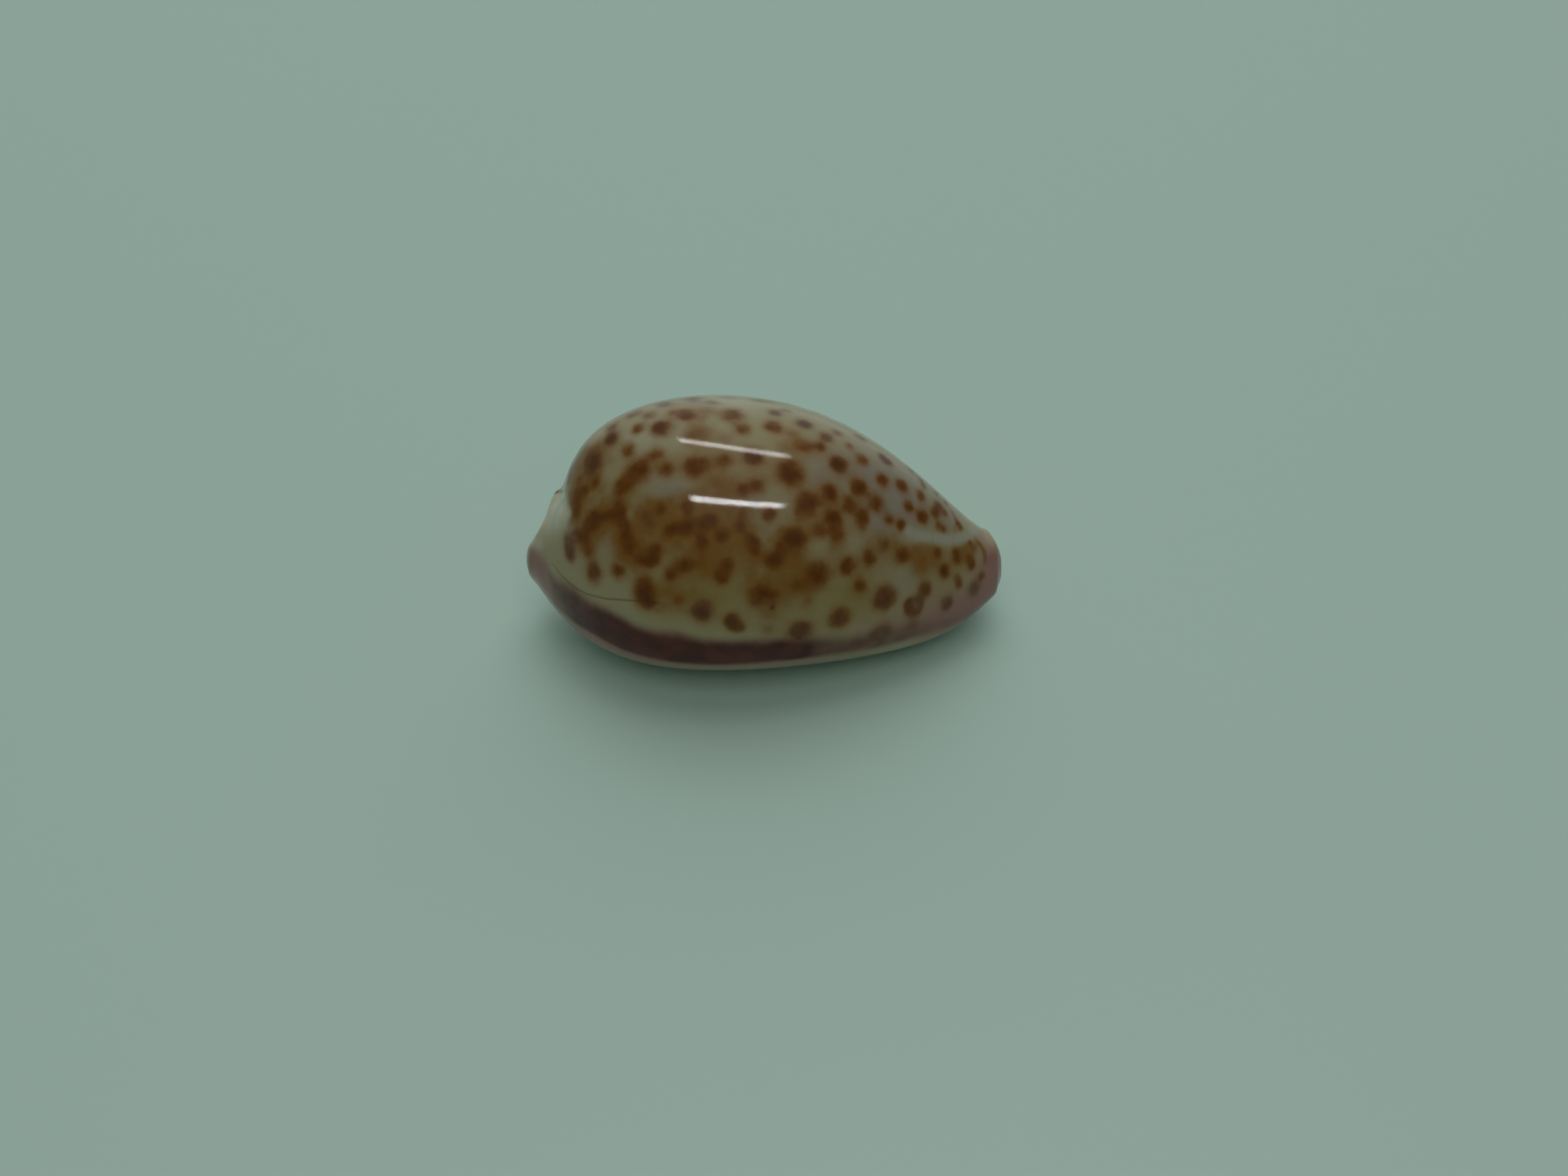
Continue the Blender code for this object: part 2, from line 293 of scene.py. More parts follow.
def inner_face():
    """The inside: a narrow canal at each end that opens into the hollow."""
    station = station_column(STATIONS)
    wall = between(RIM_WALL, station)
    canal_width = between(RIM_HALF_WIDTH, station) - wall
    canal_height = between(RIM_HEIGHT, station) - wall
    open_up = np.maximum(1 - station ** 2, 0) ** HOLLOW_TAPER
    width = canal_width + (HALF_WIDTH - WALL_MARGIN - canal_width) * open_up
    lean = 1 - HOLLOW_REAR_FULLNESS * station
    height = canal_height + (DOME_HEIGHT - WALL_DOME - canal_height) * open_up * lean
    floor = wall + (WALL_UNDERSIDE - wall) * (1 - station ** 4) + UNDERSIDE_SINK
    depth = margin_line(station) - underside_line(station) - floor
    middle = toward_ends(CANAL_SIDE_SHIFT, (5, 5), station)
    narrowing = 1 - HOLLOW_END_NARROWING * station ** 6
    outer_lip, columella = lip_lines(station)
    outer_lip = middle + (outer_lip - middle) * narrowing - HOLLOW_LIP_UNDERCUT[0]
    columella = middle + (columella - middle) * narrowing - HOLLOW_LIP_UNDERCUT[1]
    return wall_face(station, TURNS, width, height, depth, (outer_lip, columella))


def round_edge(grid):
    """The border of a grid as one loop: outer lip, front rim, columella lip, rear rim."""
    return np.concatenate([grid[:, 0], grid[-1, 1:], grid[-2::-1, -1], grid[0, -2:0:-1]])


def edge_directions(face):
    """Unit directions that lead out of a face across its border, averaged at the corners."""
    out = np.zeros_like(face)
    out[:, 0] += unit(face[:, 0] - face[:, 1])
    out[:, -1] += unit(face[:, -1] - face[:, -2])
    out[0] += unit(face[0] - face[1])
    out[-1] += unit(face[-1] - face[-2])
    return unit(round_edge(out))


def tooth_wave(x):
    """A cosine along the lips, 1 on each tooth, fading out toward both canals."""
    zone = 1 / (1 + np.exp((np.abs(x) - TOOTH_ZONE) / TOOTH_ZONE_FADE))
    return zone * np.cos(2 * np.pi * (x - TOOTH_START) / TOOTH_PITCH)


def roll_reach(x):
    """How far the rounded border swells out at each place, with the teeth on the lips."""
    station = station_column(STATIONS)[:, 0]
    along = 1 - station ** 8
    reach = np.zeros((STATIONS, TURNS, 1))
    reach[0] = RIM_ROLL[0]
    reach[-1] = RIM_ROLL[1]
    outer_lip = END_LIP_ROLL + (OUTER_LIP_ROLL - END_LIP_ROLL) * along
    reach[:, 0, 0] = outer_lip + OUTER_TOOTH * tooth_wave(x)
    columella = END_LIP_ROLL + (COLUMELLA_LIP_ROLL - END_LIP_ROLL) * along ** 2
    reach[:, -1, 0] = columella + COLUMELLA_TOOTH * tooth_wave(x)
    return round_edge(reach)


def border_rings(outer, inner):
    """Rings between the two borders, on a cubic curve that leaves each face in its own direction."""
    reach = roll_reach(outer[:, 0, 0])
    start, end = round_edge(outer), round_edge(inner)
    leave, arrive = start + reach * edge_directions(outer), end + reach * edge_directions(inner)
    t = np.linspace(0, 1, BORDER_RINGS + 2)[1:-1, None, None]
    rings = (1 - t) ** 3 * start + 3 * t * (1 - t) ** 2 * leave
    rings = rings + 3 * t ** 2 * (1 - t) * arrive + t ** 3 * end
    rings[..., 2] = np.maximum(rings[..., 2], 0)
    return rings


def outward(face):
    """Unit normals of a grid, from the cross product of its steps lengthways and round the turn."""
    return unit(np.cross(np.gradient(face, axis=0), np.gradient(face, axis=1)))


def quads(rows):
    """The four corners of every cell of a grid of point numbers."""
    corners = [rows[:-1, :-1], rows[1:, :-1], rows[1:, 1:], rows[:-1, 1:]]
    return np.stack(corners, axis=-1).reshape(-1, 4)


def step_down(fine, coarse):
    """Many-cornered faces that join a fine loop of point numbers to one COARSE times coarser."""
    starts = np.arange(len(coarse) - 1) * COARSE
    runs = fine[starts[:, None] + np.arange(COARSE + 1)[None, :]]
    return np.hstack([runs, coarse[1:, None], coarse[:-1, None]])


def closed(loop):
    """A loop of point numbers with its first one repeated at the end."""
    return np.append(loop, loop[0])


# Low relief of the enamel, read from the photograph as lines of its pixels: the rear edge of the
# last whorl, which overhangs the callus round the rear canal, and the step where the outer lip's
# callus ends on the flank. Faint ribs run in from the teeth of both lips.
PIXEL_SIZE = CAMERA_DISTANCE / FOCAL_PIXELS
LINE_FADE = 12
WHORL_EDGE = [(740, 575), (733, 590), (729, 600), (727, 615), (726, 630), (729, 645), (735, 658)]
WHORL_GROOVE = 0.20 * MM
WHORL_GROOVE_STEP = 0.16 * MM
WHORL_GROOVE_REACH = 0.55 * MM
CREASE = [
    (711, 726), (724, 742), (740, 756), (755, 764), (780, 770), (812, 772), (835, 774), (848, 776)]
RELIEF_FACING = 0.15
CREASE_STEP = 0.05 * MM
CREASE_SOFTNESS = 0.10 * MM
CREASE_REACH = 1.1 * MM
RIB_DEPTH = (0.06 * MM, 0.04 * MM)
RIB_REACH = (0.9 * MM, 2.2 * MM)
whorl_across, whorl_down = np.transpose(WHORL_EDGE)
crease_across, crease_down = np.transpose(CREASE)


def beyond_line(values, places, line_places, line_values):
    """How far values pass a line of pixels, in metres, and 1 within the line's range of places."""
    order = np.argsort(line_places)
    line_places, line_values = line_places[order], line_values[order]
    passed = (values - np.interp(places, line_places, line_values)) * PIXEL_SIZE
    near = smooth_step(line_places[0] - LINE_FADE, line_places[0] + LINE_FADE, places)
    near = near * smooth_step(line_places[-1] + LINE_FADE, line_places[-1] - LINE_FADE, places)
    return passed, near


def relief(face):
    """Heights to add along the normals: a groove, a step and ribs that fade in from both lips."""
    across, down = photo_pixels(face.reshape(-1, 3))
    across, down = across.reshape(face.shape[:2]), down.reshape(face.shape[:2])
    facing = np.sum(outward(face) * unit(view_place - face), axis=-1)
    shown = smooth_step(0.0, RELIEF_FACING, facing)
    before, near = beyond_line(across, down, whorl_down, whorl_across)
    groove = smooth_step(0, WHORL_GROOVE_STEP, -before)
    groove = groove * bump(np.maximum(-before, 0), 0, WHORL_GROOVE_REACH)
    low, along = beyond_line(down, across, crease_across, crease_down)
    step = smooth_step(-CREASE_SOFTNESS, CREASE_SOFTNESS, low)
    step = step * bump(np.maximum(low, 0), 0, CREASE_REACH)
    height = (CREASE_STEP * step * along - WHORL_GROOVE * groove * near) * shown
    walk = np.linalg.norm(np.diff(face, axis=1), axis=-1)
    arc = np.concatenate([np.zeros((len(face), 1)), np.cumsum(walk, axis=1)], axis=1)
    valley = (1 - tooth_wave(face[..., 0])) / 2 * (1 - station_column(len(face)) ** 8)
    for depth, reach, distance in zip(RIB_DEPTH, RIB_REACH, (arc, arc[:, -1:] - arc)):
        height = height - depth * valley * bump(distance, 0, reach)
    return height[..., None]


outer = outer_face()
outer = outer + relief(outer) * outward(outer)
outer[..., 2] = np.maximum(outer[..., 2], 0)
inner = inner_face()
rings = border_rings(outer, inner)
inner = inner[::COARSE, ::COARSE]
outer_ids = np.arange(STATIONS * TURNS).reshape(STATIONS, TURNS)
inner_ids = outer_ids.size + np.arange(inner[..., 0].size).reshape(inner.shape[:2])
ring_ids = outer_ids.size + inner_ids.size + np.arange(rings[..., 0].size).reshape(BORDER_RINGS, -1)
outer_edge = round_edge(outer_ids[..., None])[:, 0]
inner_edge = closed(round_edge(inner_ids[..., None])[:, 0])
strip = np.vstack([outer_edge, ring_ids])
strip = np.hstack([strip, strip[:, :1]])
shell_points = np.concatenate([outer.reshape(-1, 3), inner.reshape(-1, 3), rings.reshape(-1, 3)])
shell_faces = [
    quads(outer_ids), quads(inner_ids)[:, ::-1], quads(strip), step_down(strip[-1], inner_edge)]
shell_faces = [face for part in shell_faces for face in part.tolist()]
shell_mesh = bpy.data.meshes.new("enamelled_shell")
shell_mesh.from_pydata(shell_points.tolist(), [], shell_faces)
shell_mesh.shade_smooth()


# Marks of the enamel, read from the photograph. Each is a short brush stroke: the pixels of its
# two ends, its half-width on the shell in millimetres, how strong the pigment is, and its tint,
# from brown at 0 to violet-grey at 1, with reddish brown between.
BROWN = 0.0
RED = 0.3
VIOLET = 0.55
MARKS_UPPER_REAR = [
    (797, 541, 776, 551, 0.34, 0.40, VIOLET), (805, 536, 825, 528, 0.40, 0.70, VIOLET),
    (829, 537, 842, 531, 0.34, 0.60, VIOLET), (780, 569, 791, 560, 0.46, 0.85, VIOLET),
    (814, 555, 826, 547, 0.34, 0.70, BROWN), (841, 555, 858, 547, 0.52, 0.95, RED),
    (800, 583, 815, 572, 0.38, 0.75, BROWN), (780, 594, 792, 588, 0.34, 0.30, BROWN),
    (774, 588, 764, 598, 0.40, 0.65, VIOLET), (764, 598, 752, 612, 0.40, 0.65, VIOLET),
    (752, 585, 768, 588, 0.44, 0.60, VIOLET), (741, 596, 741, 596, 0.34, 0.40, VIOLET),
    (746, 580, 746, 580, 0.34, 0.35, VIOLET), (735, 605, 733, 617, 0.34, 0.50, RED),
    (769, 615, 762, 630, 0.34, 0.70, BROWN), (735, 641, 749, 637, 0.46, 0.85, BROWN),
    (750, 634, 756, 627, 0.29, 0.70, BROWN), (850, 578, 838, 592, 0.38, 0.70, BROWN),
    (834, 597, 812, 612, 0.63, 0.90, BROWN), (812, 616, 790, 634, 0.44, 0.80, BROWN),
    (850, 612, 864, 600, 0.40, 0.75, BROWN), (756, 596, 760, 590, 0.36, 0.55, BROWN),
    (741, 612, 746, 622, 0.34, 0.55, BROWN), (784, 552, 790, 547, 0.28, 0.40, BROWN)]
MARKS_CREST = [
    (882, 514, 900, 513, 0.62, 0.60, VIOLET), (846, 522, 862, 517, 0.44, 0.70, VIOLET),
    (925, 511, 948, 511, 0.38, 0.40, VIOLET), (908, 517, 925, 517, 0.38, 0.50, VIOLET),
    (965, 514, 998, 517, 0.44, 0.50, VIOLET), (876, 535, 892, 531, 0.50, 0.85, BROWN),
    (860, 531, 873, 530, 0.38, 0.50, BROWN), (898, 528, 916, 528, 0.38, 0.35, BROWN),
    (932, 534, 950, 533, 0.62, 0.80, BROWN), (989, 530, 1004, 531, 0.38, 0.75, VIOLET),
    (1003, 526, 1017, 529, 0.25, 0.50, VIOLET), (988, 548, 999, 547, 0.47, 0.88, BROWN),
    (949, 553, 960, 553, 0.41, 0.72, BROWN), (880, 563, 915, 556, 0.56, 0.50, RED),
    (925, 566, 940, 562, 0.38, 0.35, RED), (962, 586, 976, 588, 0.53, 0.95, RED),
    (1008, 576, 1008, 576, 0.44, 0.35, BROWN), (1012, 556, 1026, 560, 0.38, 0.35, BROWN),
    (892, 594, 895, 607, 0.60, 0.95, BROWN), (912, 592, 912, 592, 0.34, 0.25, BROWN),
    (935, 589, 929, 598, 0.44, 0.72, BROWN), (925, 618, 925, 618, 0.50, 0.50, BROWN),
    (955, 634, 951, 627, 0.41, 0.75, BROWN), (963, 628, 983, 621, 0.47, 0.75, BROWN),
    (1016, 608, 1016, 608, 0.72, 1.00, BROWN)]
MARKS_UPPER_FRONT = [
    (1026, 542, 1041, 547, 0.46, 0.85, VIOLET), (1035, 576, 1035, 576, 0.46, 0.70, BROWN),
    (1055, 575, 1055, 575, 0.34, 0.75, BROWN), (1057, 560, 1068, 564, 0.37, 0.80, VIOLET),
    (1070, 553, 1084, 560, 0.29, 0.60, VIOLET), (1088, 571, 1097, 576, 0.29, 0.60, BROWN),
    (1098, 559, 1113, 568, 0.34, 0.60, VIOLET), (1080, 543, 1090, 549, 0.17, 0.50, VIOLET),
    (1075, 595, 1082, 600, 0.52, 1.00, RED), (1104, 588, 1112, 594, 0.40, 0.80, BROWN),
    (1130, 584, 1145, 598, 0.34, 0.85, VIOLET), (1131, 613, 1138, 621, 0.40, 0.85, BROWN),
    (1156, 620, 1164, 629, 0.40, 0.90, BROWN), (1100, 623, 1108, 629, 0.48, 0.95, BROWN),
    (1065, 627, 1068, 636, 0.48, 0.95, BROWN), (1171, 605, 1171, 605, 0.26, 0.70, VIOLET),
    (1185, 617, 1185, 617, 0.26, 0.70, VIOLET), (1184, 620, 1190, 629, 0.23, 0.60, VIOLET),
    (1180, 633, 1186, 642, 0.34, 0.85, BROWN), (1164, 647, 1171, 655, 0.34, 0.80, BROWN),
    (1181, 658, 1190, 670, 0.41, 0.90, BROWN), (1205, 646, 1210, 654, 0.29, 0.80, VIOLET),
    (1214, 659, 1214, 659, 0.25, 0.70, BROWN), (1202, 659, 1202, 659, 0.34, 0.85, BROWN),
    (1203, 675, 1217, 684, 0.29, 0.70, BROWN), (1222, 655, 1229, 668, 0.17, 0.50, RED),
    (1230, 670, 1238, 682, 0.23, 0.80, BROWN), (1228, 682, 1228, 682, 0.23, 0.40, VIOLET),
    (1156, 668, 1160, 679, 0.31, 0.85, BROWN), (1203, 634, 1203, 634, 0.24, 0.60, VIOLET),
    (1216, 646, 1216, 646, 0.22, 0.60, VIOLET)]
MARKS_REAR_FLANK = [
    (740, 650, 744, 664, 0.37, 0.75, BROWN), (766, 655, 762, 682, 0.47, 0.85, BROWN),
    (748, 684, 756, 697, 0.42, 0.70, BROWN), (757, 700, 756, 718, 0.40, 0.60, BROWN),
    (765, 736, 765, 736, 0.53, 0.88, BROWN), (728, 688, 734, 705, 0.42, 0.72, VIOLET),
    (732, 712, 735, 714, 0.38, 0.90, RED), (733, 672, 733, 672, 0.32, 0.35, VIOLET),
    (737, 690, 748, 684, 0.37, 0.70, RED), (793, 735, 793, 735, 0.46, 0.78, BROWN),
    (797, 645, 797, 668, 0.47, 0.80, BROWN), (797, 662, 770, 668, 0.37, 0.70, BROWN),
    (800, 670, 806, 695, 0.42, 0.80, BROWN), (806, 697, 812, 710, 0.53, 0.85, BROWN),
    (815, 712, 832, 724, 0.32, 0.60, BROWN), (834, 725, 842, 703, 0.44, 0.85, BROWN),
    (842, 703, 853, 696, 0.37, 0.40, BROWN), (828, 664, 828, 664, 0.42, 0.55, RED),
    (836, 673, 836, 673, 0.37, 0.50, RED), (848, 645, 850, 660, 0.35, 0.75, BROWN),
    (820, 763, 838, 767, 0.58, 0.95, BROWN), (830, 750, 830, 750, 0.42, 0.70, BROWN),
    (835, 775, 835, 775, 0.32, 0.70, RED), (737, 590, 731, 622, 0.25, 0.75, BROWN),
    (724, 616, 712, 642, 0.17, 0.70, VIOLET), (753, 668, 757, 682, 0.37, 0.60, BROWN)]
MARKS_MID_FLANK = [
    (884, 654, 884, 654, 0.42, 0.85, BROWN), (862, 677, 857, 688, 0.35, 0.70, BROWN),
    (880, 682, 880, 682, 0.40, 0.60, BROWN), (903, 671, 923, 669, 0.42, 0.95, BROWN),
    (903, 699, 903, 699, 0.38, 0.80, BROWN), (903, 699, 900, 685, 0.25, 0.60, BROWN),
    (928, 690, 928, 690, 0.38, 0.75, BROWN), (928, 690, 928, 680, 0.25, 0.60, BROWN),
    (953, 668, 951, 684, 0.40, 0.80, BROWN), (955, 657, 955, 657, 0.30, 0.60, RED),
    (966, 695, 970, 705, 0.40, 0.85, BROWN), (958, 688, 966, 695, 0.25, 0.50, BROWN),
    (970, 705, 975, 715, 0.30, 0.60, BROWN), (993, 717, 996, 727, 0.50, 0.95, BROWN),
    (1000, 710, 1010, 700, 0.35, 0.65, BROWN), (1018, 682, 1018, 696, 0.50, 0.95, BROWN),
    (1028, 695, 1028, 695, 0.40, 0.80, BROWN), (1023, 712, 1023, 712, 0.40, 0.50, BROWN),
    (984, 658, 995, 669, 0.38, 0.90, BROWN), (890, 720, 872, 731, 0.52, 0.85, BROWN),
    (868, 735, 855, 741, 0.38, 0.75, BROWN), (903, 722, 903, 722, 0.35, 0.50, BROWN),
    (935, 720, 934, 730, 0.42, 0.85, BROWN), (930, 736, 925, 748, 0.45, 0.80, BROWN),
    (972, 764, 985, 768, 0.65, 0.95, BROWN), (995, 765, 995, 765, 0.30, 0.60, BROWN),
    (870, 774, 870, 774, 0.35, 0.60, BROWN), (890, 752, 890, 752, 0.30, 0.30, BROWN),
    (859, 682, 881, 682, 0.34, 0.75, BROWN), (881, 680, 906, 673, 0.32, 0.70, BROWN),
    (994, 783, 994, 783, 0.11, 1.00, VIOLET), (841, 706, 832, 726, 0.36, 0.60, BROWN)]
MARKS_FRONT_FLANK = [
    (1038, 642, 1042, 650, 0.55, 1.00, BROWN), (1025, 658, 1035, 662, 0.44, 0.50, BROWN),
    (1069, 661, 1073, 671, 0.46, 0.95, BROWN), (1074, 683, 1078, 691, 0.42, 0.75, BROWN),
    (1053, 680, 1053, 680, 0.42, 0.70, BROWN), (1091, 650, 1091, 650, 0.44, 0.85, BROWN),
    (1107, 658, 1109, 670, 0.41, 0.95, BROWN), (1109, 670, 1110, 683, 0.28, 0.45, BROWN),
    (1127, 647, 1127, 647, 0.52, 0.80, BROWN), (1139, 662, 1145, 671, 0.33, 0.75, BROWN),
    (1138, 692, 1138, 705, 0.39, 0.62, RED), (1118, 710, 1117, 726, 0.46, 0.88, BROWN),
    (1161, 712, 1161, 712, 0.44, 0.90, BROWN), (1089, 722, 1090, 733, 0.48, 0.90, BROWN),
    (1051, 732, 1052, 745, 0.68, 0.95, BROWN), (1014, 756, 1030, 750, 0.46, 0.60, BROWN),
    (1038, 772, 1038, 772, 0.39, 0.45, BROWN), (1107, 748, 1104, 759, 0.38, 0.78, BROWN),
    (1138, 764, 1134, 774, 0.66, 1.00, BROWN), (1190, 752, 1189, 763, 0.42, 0.95, BROWN),
    (1185, 700, 1195, 715, 0.66, 0.40, BROWN), (1178, 732, 1178, 732, 0.44, 0.35, BROWN),
    (1205, 703, 1207, 716, 0.24, 0.80, BROWN), (1229, 705, 1231, 724, 0.33, 0.85, BROWN),
    (1211, 728, 1216, 741, 0.40, 0.95, BROWN), (1244, 713, 1252, 732, 0.31, 0.85, BROWN),
    (1230, 739, 1234, 756, 0.28, 0.75, BROWN), (1246, 697, 1246, 697, 0.17, 0.70, BROWN),
    (1252, 705, 1252, 705, 0.28, 0.55, RED), (1250, 688, 1265, 708, 0.20, 0.50, BROWN),
    (1265, 708, 1266, 725, 0.20, 0.50, BROWN), (1263, 740, 1263, 740, 0.28, 0.70, BROWN),
    (1253, 757, 1253, 757, 0.50, 0.75, VIOLET), (1218, 775, 1218, 775, 0.46, 0.80, VIOLET)]
MARKS_MARGIN = [
    (893, 784, 912, 788, 0.59, 0.95, RED), (938, 801, 938, 801, 0.16, 0.30, BROWN),
    (935, 797, 948, 795, 0.33, 0.90, BROWN), (935, 797, 941, 806, 0.29, 0.80, BROWN),
    (941, 806, 950, 809, 0.29, 0.85, BROWN), (950, 809, 958, 803, 0.26, 0.60, RED),
    (988, 812, 988, 812, 0.41, 0.45, RED), (1020, 822, 1038, 804, 0.65, 0.95, RED),
    (1073, 796, 1086, 794, 0.58, 1.00, BROWN), (1118, 820, 1146, 808, 0.52, 0.75, VIOLET),
    (1166, 808, 1180, 800, 0.53, 0.60, VIOLET), (1166, 780, 1170, 790, 0.26, 0.90, BROWN),
    (1170, 790, 1183, 784, 0.26, 0.80, BROWN), (1183, 784, 1184, 773, 0.24, 0.60, VIOLET),
    (1184, 773, 1170, 771, 0.24, 0.60, VIOLET), (1170, 771, 1166, 780, 0.24, 0.80, BROWN)]
MARK_GROUPS = [
    MARKS_UPPER_REAR, MARKS_CREST, MARKS_UPPER_FRONT, MARKS_REAR_FLANK, MARKS_MID_FLANK,
    MARKS_FRONT_FLANK, MARKS_MARGIN]
# How a mark spreads: its stroke is shortened by this share of its half-width at both ends, its
# pigment falls off as a bell whose width is this share of the half-width, and a wider, weaker halo
# tans the ground round it.
MARK_INSET = 0.75
MARK_SPREAD = 1.10
MARK_POWER = 2.2
HALO_SPREAD = 1.8
HALO_STRENGTH = 0.55
HALO_SHARE = 0.62

enamel = outer.reshape(-1, 3)
enamel_normals = outward(outer).reshape(-1, 3)
facing = np.sum(enamel_normals * unit(view_place - enamel), axis=1)
seen = np.nonzero(facing > 0)[0]
seen_across, seen_down = photo_pixels(enamel[seen])


def place_of(across, down):
    """The point of the enamel that shows at a pixel of the photograph: the nearest one in view."""
    return enamel[seen[np.argmin((seen_across - across) ** 2 + (seen_down - down) ** 2)]]


def distance_to_stroke(start, end):
    """Each enamel point's distance to the straight stroke between two points."""
    along = end - start
    share = np.clip((enamel - start) @ along / max(along @ along, 1e-12), 0, 1)
    return np.linalg.norm(enamel - start - share[:, None] * along, axis=1)


def stroke_amount(start, end, half_width, strength):
    """How much pigment a stroke leaves: its strength times a flat-topped bell of the distance."""
    length = max(np.linalg.norm(end - start), 1e-9)
    inset = min(MARK_INSET * half_width / length, 0.5)
    start, end = start + (end - start) * inset, end + (start - end) * inset
    distance = distance_to_stroke(start, end)
    return strength * np.exp(-(distance / (MARK_SPREAD * half_width)) ** MARK_POWER)


bare = np.ones(len(enamel))
clear = np.ones(len(enamel))
tint_sum = np.zeros(len(enamel))
tint_weight = np.full(len(enamel), 1e-6)
mark_places = []
for mark in [mark for group in MARK_GROUPS for mark in group]:
    ends = place_of(*mark[:2]), place_of(*mark[2:4])
    amount = stroke_amount(*ends, mark[4] * MM, mark[5])
    bare *= 1 - amount
    clear *= 1 - stroke_amount(*ends, mark[4] * MM * HALO_SPREAD, mark[5] * HALO_STRENGTH)
    tint_sum += amount * mark[6]
    tint_weight += amount
    mark_places.append(np.mean(ends, axis=0))

# The side that the photograph doesn't show: spots of the same sizes, spread evenly at random and
# kept off the margin and off the marks that are read.
HIDDEN_SEED = 7
HIDDEN_TRIES = 1500
HIDDEN_GAP = 1.25 * MM
HIDDEN_HALF_WIDTH = (0.24 * MM, 0.68 * MM)
HIDDEN_HALF_WIDTH_BELL = (1.6, 2.2)
HIDDEN_STRENGTH = (0.5, 1.0)
HIDDEN_STROKE = 0.45
HIDDEN_CROWDING = (0.75, 0.5)
HIDDEN_TINT = 0.15
HIDDEN_LOWEST = 3.2 * MM
HIDDEN_FACING = 0.04
HIDDEN_FRONT = 9.6 * MM
HIDDEN_VEILS = 26
HIDDEN_VEIL_RADIUS = (0.7 * MM, 1.4 * MM)
HIDDEN_VEIL_STRENGTH = (0.2, 0.5)
chance = np.random.default_rng(HIDDEN_SEED)
hidden = (facing < HIDDEN_FACING) & (enamel[:, 2] > HIDDEN_LOWEST)
hidden = np.nonzero(hidden & (np.abs(enamel[:, 0]) < HIDDEN_FRONT))[0]
for pick in chance.choice(hidden, HIDDEN_TRIES, replace=False):
    swell = chance.beta(*HIDDEN_HALF_WIDTH_BELL)
    half_width = HIDDEN_HALF_WIDTH[0] + (HIDDEN_HALF_WIDTH[1] - HIDDEN_HALF_WIDTH[0]) * swell
    strength = chance.uniform(*HIDDEN_STRENGTH)
    spread = chance.normal(0, HIDDEN_STROKE, 3) * half_width
    near = np.min(np.linalg.norm(np.array(mark_places) - enamel[pick], axis=1))
    crowding = HIDDEN_CROWDING[0] + HIDDEN_CROWDING[1] * half_width / HIDDEN_HALF_WIDTH[1]
    if near > HIDDEN_GAP * crowding:
        mark_places.append(enamel[pick])
        ends = enamel[pick] - spread, enamel[pick] + spread
        amount = stroke_amount(*ends, half_width, strength)
        bare *= 1 - amount
        clear *= 1 - stroke_amount(*ends, half_width * HALO_SPREAD, strength * HALO_STRENGTH)
        tint_sum += amount * HIDDEN_TINT
        tint_weight += amount
hidden_veil = np.zeros(len(enamel))
for pick in chance.choice(hidden, HIDDEN_VEILS, replace=False):
    distance = np.linalg.norm(enamel - enamel[pick], axis=1)
    strength = chance.uniform(*HIDDEN_VEIL_STRENGTH)
    hidden_veil += strength * bump(distance, 0, chance.uniform(*HIDDEN_VEIL_RADIUS))
pigment = 1 - bare
tint = tint_sum / tint_weight

# Broad soft washes under the spots, read from the photograph: the pixel of the centre, the radius
# on the shell in millimetres, and the strength.
TAN_VEIL = [
    (862, 664, 0.9, 0.60), (900, 665, 1.2, 0.75), (832, 656, 0.7, 0.50), (820, 690, 0.8, 0.60),
    (925, 655, 0.9, 0.70), (870, 700, 0.9, 0.50), (985, 705, 0.9, 0.60), (785, 660, 0.9, 0.70),
    (757, 700, 0.6, 0.45), (905, 722, 0.9, 0.60), (1040, 665, 0.8, 0.35), (1030, 742, 0.9, 0.60),
    (1150, 705, 0.9, 0.50), (1190, 712, 0.9, 0.75), (1240, 715, 0.8, 0.70), (1215, 682, 0.5, 0.35),
    (808, 618, 0.6, 0.45), (895, 560, 0.9, 0.50), (1025, 565, 0.7, 0.45), (755, 620, 0.8, 0.55),
    (985, 770, 1.0, 0.35), (865, 770, 0.7, 0.55), (1120, 700, 0.7, 0.40), (745, 600, 0.8, 0.50),
    (845, 670, 0.8, 0.60), (880, 685, 0.8, 0.70), (950, 675, 0.8, 0.55), (1010, 705, 0.7, 0.65),
    (805, 710, 0.7, 0.60), (930, 705, 0.8, 0.45), (965, 740, 0.7, 0.40), (745, 660, 0.6, 0.60),
    (905, 650, 0.9, 0.40), (870, 668, 0.8, 0.40), (835, 765, 0.7, 0.50), (1080, 700, 0.7, 0.35),
    (885, 700, 0.9, 0.35), (768, 685, 0.8, 0.40), (1000, 790, 0.9, 0.30), (738, 640, 0.5, 0.60),
    (735, 625, 0.5, 0.50), (1105, 755, 0.6, 0.40), (748, 595, 1.0, 0.50), (742, 615, 0.8, 0.35),
    (762, 580, 0.9, 0.30), (905, 530, 0.8, 0.15), (845, 592, 0.6, 0.25), (940, 610, 1.0, 0.20),
    (760, 640, 0.9, 0.25)]
LAVENDER_WASH = [
    (1060, 610, 1.6, 0.65), (1110, 600, 1.6, 0.55), (1145, 635, 1.6, 0.75), (1180, 650, 1.3, 0.70),
    (1220, 670, 0.9, 0.65), (1095, 545, 1.2, 0.45), (1185, 605, 1.3, 0.60), (1130, 670, 0.9, 0.50),
    (905, 620, 0.9, 0.35), (965, 640, 1.0, 0.35), (985, 690, 0.6, 0.30), (850, 618, 0.7, 0.60),
    (868, 632, 0.6, 0.60), (780, 700, 0.7, 0.25), (1165, 740, 0.8, 0.40), (745, 575, 1.0, 0.30)]
